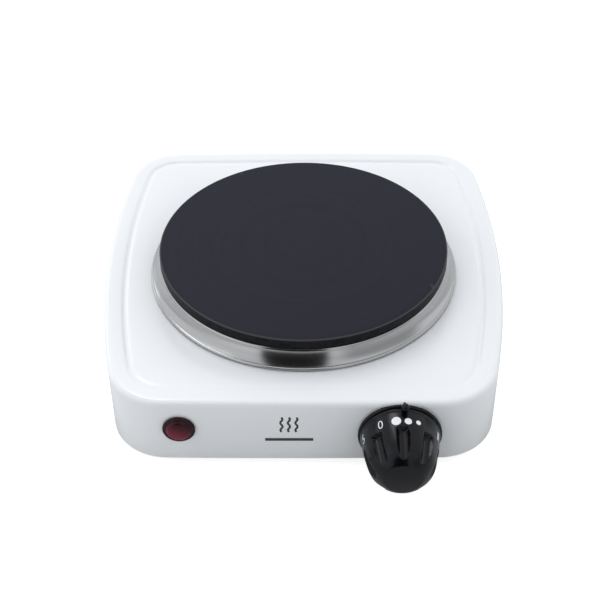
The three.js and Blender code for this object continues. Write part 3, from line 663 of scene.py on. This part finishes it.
def make_housing():
    bm = bmesh.new()
    top = draw_outline(bm, TOP)
    rim = list(top.edges)
    below_fillet = pull_down(bm, rim, EDGE_FILLET + FLAT)
    pull_down(bm, below_fillet, TOP - SKIRT_BOTTOM - EDGE_FILLET - FLAT)
    round_over(bm, rim, EDGE_FILLET, 8)
    top = max(bm.faces, key=lambda f: f.calc_area())
    fade_from, fade_to = GROOVE_FADE

    def press(face, share):
        for v in face.verts:
            s = min(1, max(0, (v.co.y - fade_from) / (fade_to - fade_from)))
            v.co.z = TOP - GROOVE_DEPTH * share * s * s * (3 - 2 * s)

    step_in(bm, top, FLAT)
    step_in(bm, top, GROOVE_INSET - GROOVE_HALF - EDGE_FILLET - FLAT)
    for k in range(1, GROOVE_LOOPS + 1):
        step_in(bm, top, 2 * GROOVE_HALF / GROOVE_LOOPS)
        press(top, 0.5 - 0.5 * math.cos(FULL_TURN * k / GROOVE_LOOPS))
    step_in(bm, top, FLAT)
    step_in(bm, top, 2 * FLAT)
    for v in top.verts:
        v.co.xy = v.co.xy.normalized() * OPENING_R
    bmesh.ops.delete(bm, geom=[top], context="FACES")

    shell = to_object("housing", bm, PLATE_AXIS)
    give_wall(shell)
    cut_edge = shell.modifiers.new("cut_edge", "BEVEL")
    cut_edge.width = 0.25 * MM
    cut_edge.segments = 2
    cut_edge.limit_method = "ANGLE"
    cut_edge.angle_limit = math.radians(60)
    settle(shell)

    holes = bmesh.new()
    to_plate = PLATE_AXIS.inverted()
    knob = to_plate @ KNOB_AXIS.translation
    lamp = to_plate @ LAMP_AXIS.translation
    gland = to_plate @ GLAND_AXIS.translation
    deep = 8
    drill(holes, *knob, BUSH_HOLE, deep, 1)
    for side in (-1, 1):
        drill(holes, knob.x + side * SCREW_APART, knob.y, knob.z, SCREW_HOLE, deep, 1)
    drill(holes, *lamp, LENS_HOLE, deep, 1)
    drill(holes, *gland, GLAND_HOLE, deep, 1)
    cut_away(shell, holes, PLATE_AXIS)
    slotted_piece(shell, "white_paint", "frame", "housing_shell")


# ---- Base plate, feet and their screws ----
BASE_TOP = 8.7
BASE_BEND = 1.1
PAN_BORDER = 4.5
PAN_STEP = 0.7
VENT_HALF = (11, 2)
VENTS_A_SIDE = 5


def make_base_plate():
    bm = bmesh.new()
    edge = SHEET + 0.6
    face = draw_outline(bm, BASE_TOP, edge)
    rim = list(face.edges)
    pull_down(bm, rim, BASE_TOP - SKIRT_BOTTOM - 0.4)
    round_over(bm, rim, BASE_BEND, 4)
    floor_face = max(bm.faces, key=lambda f: f.calc_area())
    # A pressed border stiffens the pan, clear of the feet.
    step_in(bm, floor_face, PAN_BORDER)
    for drop in (0.15, 0.45, 0.6, 0.6, 0.45, 0.15, 0.0):
        step_in(bm, floor_face, PAN_STEP)
        for v in floor_face.verts:
            v.co.z = BASE_TOP - drop
    pan = to_object("base_pan", bm, PLATE_AXIS)
    give_wall(pan)
    settle(pan)

    holes = bmesh.new()
    for screwed in [*("foot_" + where for where in CORNERS), "earth_screw"]:
        at = PLATE_AXIS.inverted() @ middle(screwed)
        drill(holes, at.x, at.y, BASE_TOP, FOOT_HOLE, 10)
    half_long, half_wide = VENT_HALF
    for side in (-1, 1):
        for row in range(VENTS_A_SIDE):
            x, y = side * 38, 12 * (row - 2)
            low = (x - half_long, y - half_wide, 2)
            high = (x + half_long, y + half_wide, 16)
            mill(holes, low, high, round_by=half_wide - 0.04)
    cut_away(pan, holes, PLATE_AXIS)
    slotted_piece(pan, "zinc_steel", "frame", "base_plate")


def make_foot(where):
    centre = middle("foot_" + where)
    place = place_at(centre.x, centre.y, 0)
    top = BASE_TOP - SHEET - GAP
    bm = turned(
        [
            (4.5, 0), (9.0, 0), (10.0, 1.0), (9.5, 3.2), (8.9, 3.5), (8.9, 4.1), (9.2, 4.4), (8.8, top),
            (FOOT_HOLE, top), (FOOT_HOLE, 4.5), (4.5, 4.5),
        ],
        steps=72,
        closed=True,
    )
    foot = to_object("rubber_foot_" + where, soften(bm, 0.35), place)
    slotted_piece(foot, "rubber", "frame", "foot_" + where)

    bm = turned(
        [
            (0, 2.2), (2.2, 2.2), (3.4, 2.7), (3.8, 3.4), (3.8, 4.2), (2.0, 4.2), (2.0, 13.0), (1.4, 13.5),
            (0, 13.5),
        ],
        steps=48,
    )
    screw = to_object("foot_bolt_" + where, soften(bm, 0.15, 2), place)
    cut_away(screw, cross_recess(2.2, 3.6), place)
    slotted_piece(screw, "zinc_steel", "frame", "foot_screw_" + where)


def cross_recess(head, depth):
    """The cutter for a cross recess: two tapered blades from the screw's head inwards."""
    bm = bmesh.new()
    for turn in (0, math.pi / 2):
        made = bmesh.ops.create_cone(
            bm, cap_ends=True, segments=4, radius1=2.5, radius2=1.0, depth=2 * (depth - head)
        )
        spin = Matrix.Rotation(math.pi / 4, 4, "Z")
        thin = Matrix.Scale(0.26, 4, (0, 1, 0))
        place = Matrix.Translation((0, 0, head)) @ Matrix.Rotation(turn, 4, "Z") @ thin @ spin
        bmesh.ops.transform(bm, matrix=place, verts=made["verts"])
    return bm


# ---- Cooking plate and its ring ----
COIL_RADII = (36, 57)
CHANNEL_HALF = 6.5
CHANNEL_FLOOR = 42
CHANNEL_ROOF = 53


def make_plate():
    channels = []
    for radius in COIL_RADII:
        near, far = radius - CHANNEL_HALF, radius + CHANNEL_HALF
        channels += [(near, CHANNEL_FLOOR), (near, CHANNEL_ROOF), (far, CHANNEL_ROOF), (far, CHANNEL_FLOOR)]
    edge = PLATE_R - PLATE_CHAMFER
    bm = turned(
        [
            (0, 50), (3.3, 50), (3.3, 38.5), (9, 38.5), (10.5, CHANNEL_FLOOR), *channels,
            (71.5, CHANNEL_FLOOR), (71.5, RIM_BOTTOM), (edge, RIM_BOTTOM),
            (PLATE_R, RIM_BOTTOM + PLATE_CHAMFER), (PLATE_R, PLATE_TOP - PLATE_CHAMFER),
            (edge, PLATE_TOP), (74, PLATE_TOP), (30, PLATE_TOP), (0, PLATE_TOP),
        ],
        steps=192,
    )
    plate = to_object("cast_iron_plate", soften(bm, 0.15), PLATE_AXIS)
    slotted_piece(plate, "cast_iron", "frame", "hot_plate")


def make_ring():
    """A flared skirt with a rolled bead at its foot and a lip under the plate's rim."""
    lip = RIM_BOTTOM - GAP
    under_lip = lip - 0.8
    outer = eased([(77.7, lip - 0.4), (78.4, 52.6), (79.6, 50.0), (81.0, 47.9), (81.9, 46.9)], 0.7)
    bead = [(81.9, 46.9), (82.4, 46.8), (82.9, 46.4), (83.0, 45.8), (82.7, 45.25), (82.2, 45.1)]
    inner = [(81.7, 45.1), (81.0, 46.4), (79.8, 48.4), (78.5, 50.6), (77.4, 53.0), (77.1, lip - 0.7)]
    lip_profile = [(76.6, under_lip), (74.2, under_lip), (74.2, lip), (77.3, lip)]
    profile = [*outer, *eased(bead, 0.2)[1:], *eased(inner, 0.9), *lip_profile]
    bm = turned(profile, steps=224, closed=True)
    slotted_piece(to_object("flared_ring", bm, PLATE_AXIS), "stainless", "frame", "trim_ring")


# ---- Knob: flutes, marks, and the bezel behind it, with +Z out of the front wall ----
FLUTES = 8
FLUTE_HALF = 3.3
FLUTE_START = 13.7
FLUTE_FLANK = 4  # how steeply the flutes run out beside them
FLUTE_END = 5  # and how steeply towards the wall
FLUTE_BLEND = 0.45
FLUTE_AXIS_R = 17.2
FLUTE_AXIS_OUT = 21.0
FLUTE_LEAN = 0.21  # radians
SKIRT_OUT = 12.6  # the plain skirt ends and the grip starts
BORE_R = 8  # everything inside this is bore or end face
KNOB_BACK = 2.8
KNOB_OUT = 32.0
KNOB_SIDE = eased(
    [
        (19.7, KNOB_BACK), (19.9, 3.3), (19.4, 5.2), (19.1, 8), (18.4, 13), (17.45, 18), (16.5, 22),
        (15.3, 25), (13.1, 28), (10.8, 30), (9.6, 30.75),
    ],
    0.32,
)
KNOB_FACE = eased([(9.3, 30.88), (6.2, 31.45), (3.0, 31.85), (0, KNOB_OUT)], 0.4)
BEZEL_BACK = 0.4
BEZEL_R = 20.9
STEM_AT = (0, BEZEL_R + 0.05, 2.2)
STEM_R = 0.8
STEM_LONG = 3.6
PIP_AT = (0, 22.3, 4.6)
PIP_R = 2.1
PIP_TURN = math.radians(4)


def scoop(out, across, along):
    """How far out the skin is left once a finger flute is cut across it."""
    axis = FLUTE_AXIS_R - math.tan(FLUTE_LEAN) * (along - FLUTE_AXIS_OUT)
    if abs(across) < FLUTE_HALF:
        floor = axis - math.sqrt(FLUTE_HALF**2 - across**2)
    else:
        floor = axis + FLUTE_FLANK * (abs(across) - FLUTE_HALF)
    floor += FLUTE_END * max(0, FLUTE_START - along)
    meet = max(FLUTE_BLEND - abs(out - floor), 0) / FLUTE_BLEND
    return min(out, floor) - meet * meet * FLUTE_BLEND / 4


def make_knob():
    bore = [(0, 21), (3.3, 21), (3.3, 4.5), (6, 4.5), (6, 12), (14.6, 12), (16.6, 9), (17.2, KNOB_BACK)]
    bm = turned([*bore, *KNOB_SIDE, *KNOB_FACE], steps=288)
    step = FULL_TURN / FLUTES
    for v in bm.verts:
        radius = v.co.xy.length
        if v.co.z < SKIRT_OUT or radius < BORE_R:
            continue
        turn = math.atan2(v.co.x, v.co.y)
        centre = round(turn / step) * step
        across = radius * math.sin(turn - centre)
        out = scoop(radius * math.cos(turn - centre), across, v.co.z)
        v.co.x = out * math.sin(centre) + across * math.cos(centre)
        v.co.y = out * math.cos(centre) - across * math.sin(centre)
    knob = to_object("fluted_knob", bm, KNOB_AXIS)
    slotted_piece(knob, "black_plastic", "knob", "control_knob", sharp=50)


def skin_radius(along):
    return min(KNOB_SIDE, key=lambda point: abs(point[1] - along))[0]


def lay_on_skirt(bm, turn, along):
    """Wraps a flat print onto the knob's skirt, its top towards the wall."""
    proud, sunk = 0.05, -0.15
    for v in bm.verts:
        across, up, lift = v.co
        height = along - up
        radius = skin_radius(height) + (proud if lift > 0 else sunk)
        angle = math.radians(turn) + across / radius
        v.co = (radius * math.sin(angle), radius * math.cos(angle), height)


def print_from_text(words, tall, wide):
    """A flat figure as a thin solid in millimetres, centred on its own middle."""
    curve = bpy.data.curves.new("print", "FONT")
    curve.body = words
    curve.size = 1.0
    curve.offset = -0.008
    curve.resolution_u = 6
    text = bpy.data.objects.new("print", curve)
    bpy.context.scene.collection.objects.link(text)
    graph = bpy.context.evaluated_depsgraph_get()
    mesh = bpy.data.meshes.new_from_object(text.evaluated_get(graph))
    bpy.data.objects.remove(text)
    bm = bmesh.new()
    bm.from_mesh(mesh)
    bmesh.ops.remove_doubles(bm, verts=bm.verts[:], dist=1e-5)
    xs = sorted(v.co.x for v in bm.verts)
    ys = sorted(v.co.y for v in bm.verts)
    middle_of = Vector(((xs[0] + xs[-1]) / 2, (ys[0] + ys[-1]) / 2, 0))
    size = (wide / (xs[-1] - xs[0]), tall / (ys[-1] - ys[0]), 1)
    bmesh.ops.translate(bm, vec=-middle_of, verts=bm.verts[:])
    bmesh.ops.scale(bm, vec=size, verts=bm.verts[:])
    return thicken(bm)


def thicken(bm):
    """Gives flat print its small thickness, with its faces cut short enough to follow a curve."""
    longest = 0.5
    bmesh.ops.triangulate(bm, faces=bm.faces[:])
    for _ in range(2):
        long_edges = [e for e in bm.edges if e.calc_length() > longest]
        if long_edges:
            bmesh.ops.subdivide_edges(bm, edges=long_edges, cuts=1, use_grid_fill=False)
            bmesh.ops.triangulate(bm, faces=bm.faces[:])
    made = bmesh.ops.extrude_face_region(bm, geom=bm.faces[:])["geom"]
    raised = [g for g in made if isinstance(g, bmesh.types.BMVert)]
    bmesh.ops.translate(bm, vec=(0, 0, 1), verts=raised)
    return closed_up(bm)


def print_dot(across):
    bm = bmesh.new()
    bmesh.ops.create_circle(bm, cap_ends=True, cap_tris=True, segments=40, radius=across / 2)
    return thicken(bm)


# Each mark's turn in degrees from the top, its place out from the wall, and a dot's diameter.
DOTS = [("large", -9.3, 10.0, 4.7), ("medium", 8.4, 10.2, 3.6), ("small", 24.2, 9.9, 2.5)]
FIRST_FIGURE = 70.0
FIGURE_STEP = 53.5
FIGURES = [(0, -34.0, 9.7), *((n, FIRST_FIGURE + FIGURE_STEP * (n - 1), 8.8) for n in range(1, 6))]
FIGURE_TALL = 4.6
FIGURE_WIDE = 2.6
ONE_WIDE = 1.5


def make_marks():
    for size, turn, along, across in DOTS:
        bm = print_dot(across)
        lay_on_skirt(bm, turn, along)
        finish_piece(to_object("dial_dot_" + size, bm, KNOB_AXIS), FINISHES["white_print"], "knob")
    for figure, turn, along in FIGURES:
        bm = print_from_text(str(figure), FIGURE_TALL, ONE_WIDE if figure == 1 else FIGURE_WIDE)
        lay_on_skirt(bm, turn, along)
        finish_piece(to_object(f"dial_figure_{figure}", bm, KNOB_AXIS), FINISHES["white_print"], "knob")


def make_bezel():
    bm = turned(
        [
            (8, BEZEL_BACK), (BEZEL_R - 0.8, BEZEL_BACK), (BEZEL_R, 1.2), (BEZEL_R, 1.8),
            (BEZEL_R - 0.6, 2.5), (15.2, 2.5), (15.2, 1.2), (8, 1.2),
        ],
        steps=160,
        closed=True,
    )
    bezel = to_object("dial_ring", soften(bm, 0.2), KNOB_AXIS)
    stem = bmesh.new()
    drill(stem, *STEM_AT, STEM_R, STEM_LONG)
    pip = bmesh.new()
    bmesh.ops.create_uvsphere(pip, u_segments=40, v_segments=24, radius=PIP_R)
    bmesh.ops.translate(pip, vec=PIP_AT, verts=pip.verts[:])
    for added in (stem, pip):
        added.transform(Matrix.Rotation(-PIP_TURN, 4, "Z"))
        cut_away(bezel, added, KNOB_AXIS, "UNION")
    holes = bmesh.new()
    for side in (-1, 1):
        drill(holes, side * SCREW_APART, 0, 2 * BEZEL_BACK, SCREW_HOLE, 4)
    cut_away(bezel, holes, KNOB_AXIS)
    slotted_piece(bezel, "black_plastic", "frame", "dial_bezel")


# ---- Pilot lens, with +Z out of the front wall ----
def make_lens():
    bm = turned(
        [
            (0, 0.5), (4.4, 0.5), (4.4, -9), (5.6, -9), (5.6, 0.35), (8.2, 0.35), (8.2, 1.2), (7.7, 1.8),
            (6.9, 1.9), (6.6, 1.7), (6.3, 2.1), (5.6, 2.9), (4.3, 3.4), (2.4, 3.62), (0, LENS_OUT),
        ],
        steps=96,
    )
    lens = to_object("lamp_lens", soften(bm, 0.2, over=18), LAMP_AXIS)
    slotted_piece(lens, "red_lens", "frame", "pilot_lens")


# ---- Cord gland, with +Z out of the back wall ----
GRIPS = 12
GRIP_HOLLOW = 0.035  # of the radius


def make_gland():
    bm = turned(
        [
            (4, -8), (6.4, -8), (6.4, 0.6), (9.5, 0.6), (9.5, 2.4), (8.9, 2.9), (8.2, GLAND_OUT - 0.3),
            (7.9, GLAND_OUT), (4.6, GLAND_OUT), (4, GLAND_OUT - 0.6),
        ],
        steps=144,
        closed=True,
    )
    for v in bm.verts:
        # Shallow grip hollows round the flange.
        if v.co.xy.length > 8.6 and v.co.z > 0:
            wave = math.cos(GRIPS * math.atan2(v.co.y, v.co.x))
            v.co.xy *= 1 - GRIP_HOLLOW * max(0, wave) ** 2
    grommet = to_object("cord_grommet", soften(bm, 0.2), GLAND_AXIS)
    slotted_piece(grommet, "black_plastic", "frame", "cord_gland")


# ---- Heat mark printed on the front wall: three waves over a bar ----
MARK_X = -6.9
MARK_BELOW_TOP = 18.3
WAVES_AT = (-3.7, 0, 3.7)
WAVE_FOOT = -1.2
WAVE_HALF = 0.55
WAVE_BEND = 1.9  # radius of each bow in a wave
BAR_AT = -6.6
BAR_SIZE = (24.0, 1.9)


def make_heat_mark():
    bm = bmesh.new()
    bow = math.radians(84)
    rise = WAVE_BEND * math.sin(bow / 2)
    for x in WAVES_AT:
        low = WAVE_FOOT
        across = Vector((math.cos(bow / 2), math.sin(bow / 2), 0)) * WAVE_HALF
        start = Vector((x, low, 0))
        ends = [bm.verts.new(start - across), bm.verts.new(start + across)]
        stroke = [*ends, bm.edges.new(ends)]
        for side in (1, -1, 1, -1):
            stroke = bmesh.ops.spin(
                bm,
                geom=stroke,
                cent=(x + side * WAVE_BEND * math.cos(bow / 2), low + rise, 0),
                axis=(0, 0, 1),
                angle=-side * bow,
                steps=8,
                use_merge=False,
            )["geom_last"]
            low += 2 * rise
    bar = Matrix.Translation((0, BAR_AT, 0)) @ Matrix.Diagonal((*BAR_SIZE, 1, 1))
    bmesh.ops.create_grid(bm, x_segments=30, y_segments=1, size=0.5, matrix=bar)
    thicken(bm)
    proud, sunk = 0.06, -0.1
    for v in bm.verts:
        # The front wall bows back by this much at the point, beside the mark's middle.
        bowed = ((v.co.x + MARK_X) ** 2 - MARK_X**2) / (2 * FRONT_ARC)
        v.co.z = (proud if v.co.z > 0.5 else sunk) - bowed
    wall = -FRONT + MARK_X**2 / (2 * FRONT_ARC)
    place = PLATE_AXIS @ Matrix.Translation((MARK_X, wall, TOP - MARK_BELOW_TOP))
    turned_up = Matrix.Rotation(math.pi / 2, 4, "X")
    finish_piece(to_object("heat_mark", bm, place @ turned_up), FINISHES["dark_print"], "frame")


make_housing()
make_base_plate()
for where in CORNERS:
    make_foot(where)
make_plate()
make_ring()
make_knob()
make_marks()
make_bezel()
make_lens()
make_gland()
make_heat_mark()

# ---- Floor, light and camera ----
FLOOR_R = 1.2
FLOOR_GLOW = 0.8  # lifts the floor to the white of the backdrop, for the eye only


def make_floor():
    bm = bmesh.new()
    bmesh.ops.create_circle(bm, cap_ends=True, segments=64, radius=FLOOR_R)
    floor = to_object("floor", bm, Matrix.Identity(4))
    finish = Finish("pale_floor", Specular_IOR_Level=0.1, Roughness=0.8)
    grain = finish.effect(GRAIN, Scale=300.0)
    finish.feed("Base Color", finish.shade(grain["Specks"], (0.74, 0.74, 0.74), (0.76, 0.76, 0.76)))
    finish.shader.inputs["Emission Color"].default_value = (1, 1, 1, 1)
    seen = put(finish.tree, "ShaderNodeLightPath").outputs["Is Camera Ray"]
    finish.feed("Emission Strength", math_node(finish.tree, "MULTIPLY", seen, FLOOR_GLOW))
    floor.data.materials.append(finish.material)


def make_sky():
    """White to the eye. As light, a little brighter low down, with a dark flag in front."""
    world = bpy.data.worlds.new("studio")
    bpy.context.scene.world = world
    world.use_nodes = True
    tree = world.node_tree
    tree.nodes.clear()
    where = put(tree, "ShaderNodeTexCoord").outputs["Generated"]
    x, y, z = apart(tree, where)

    def times(first, second):
        return math_node(tree, "MULTIPLY", first, second)

    ahead = math_node(tree, "MAXIMUM", times(y, -1.0), 0.01)
    slant = math_node(tree, "DIVIDE", x, ahead)
    # A dark flag straight in front, as high as the camera.
    sideways = math_node(tree, "ABSOLUTE", math_node(tree, "ADD", slant, 0.12))
    flag = times(spread(tree, sideways, 0.37, 0.49, 1.0, 0.0), spread(tree, z, 0.66, 0.82, 1.0, 0.0))
    # The low front right of the room is dimmer.
    to_right = times(spread(tree, slant, 0.2, 0.8), spread(tree, z, 0.3, 0.6, 1.0, 0.0))
    front_right = times(to_right, spread(tree, y, -0.3, 0.1, 1.0, 0.0))
    strength = spread(tree, z, 0.0, 0.9, 1.18, 0.95)
    strength = times(strength, spread(tree, flag, 0.0, 1.0, 1.0, 0.02))
    strength = times(strength, spread(tree, front_right, 0.0, 1.0, 1.0, 0.52))
    soft = put(tree, "ShaderNodeBackground", {"Color": (0.97, 0.985, 1.0, 1), "Strength": strength})
    white = put(tree, "ShaderNodeBackground", {"Color": (1, 1, 1, 1), "Strength": 1.0})
    seen = put(tree, "ShaderNodeLightPath").outputs["Is Camera Ray"]
    mixed = put(tree, "ShaderNodeMixShader", {0: seen, 1: soft.outputs[0], 2: white.outputs[0]})
    out = put(tree, "ShaderNodeOutputWorld")
    tree.links.new(mixed.outputs[0], out.inputs[0])


def towards(azimuth, elevation):
    """The unit vector from the object towards a place round it, in degrees, 0 in front."""
    a, e = math.radians(azimuth), math.radians(elevation)
    return Vector((math.sin(a) * math.cos(e), -math.cos(a) * math.cos(e), math.sin(e)))


def add_softbox(name, azimuth, elevation, distance, wide, tall, watts):
    light = bpy.data.lights.new(name, "AREA")
    light.shape = "RECTANGLE"
    light.size = wide
    light.size_y = tall
    light.energy = watts
    lamp = bpy.data.objects.new(name, light)
    bpy.context.scene.collection.objects.link(lamp)
    direction = towards(azimuth, elevation)
    lamp.location = direction * distance
    lamp.rotation_euler = direction.to_track_quat("Z", "Y").to_euler()


CAMERA_STANDS = (0.44, 39.105)  # azimuth and elevation of its place, from the plate's middle
CAMERA_AWAY = 0.70302
CAMERA_LOOKS_BACK = (0.66, 40.56)
CAMERA_ROLL = -0.52
LENS_MM = 76.96
SENSOR_MM = 36


def make_camera():
    """A long lens from high in front, level but for half a degree."""
    target = Vector((plate_middle.x, plate_middle.y, TOP * MM))
    back = towards(*CAMERA_LOOKS_BACK)
    side = Vector((0, 0, 1)).cross(back).normalized()
    up = back.cross(side)
    roll = math.radians(CAMERA_ROLL)
    right = side * math.cos(roll) + up * math.sin(roll)
    top = up * math.cos(roll) - side * math.sin(roll)
    data = bpy.data.cameras.new("camera")
    data.lens = LENS_MM
    data.sensor_width = SENSOR_MM
    camera = bpy.data.objects.new("camera", data)
    bpy.context.scene.collection.objects.link(camera)
    turn = Matrix((right, top, back)).transposed().to_4x4()
    camera.matrix_world = Matrix.Translation(target + towards(*CAMERA_STANDS) * CAMERA_AWAY) @ turn
    bpy.context.scene.camera = camera


make_floor()
make_sky()
add_softbox("key", -150, 58, 1.6, 0.5, 0.45, 3.2)
add_softbox("left", -72, 40, 1.5, 1.0, 0.8, 1.0)
add_softbox("left_rear", -128, 14, 1.5, 0.6, 0.8, 1.0)
make_camera()
bpy.context.scene.view_settings.view_transform = "Standard"
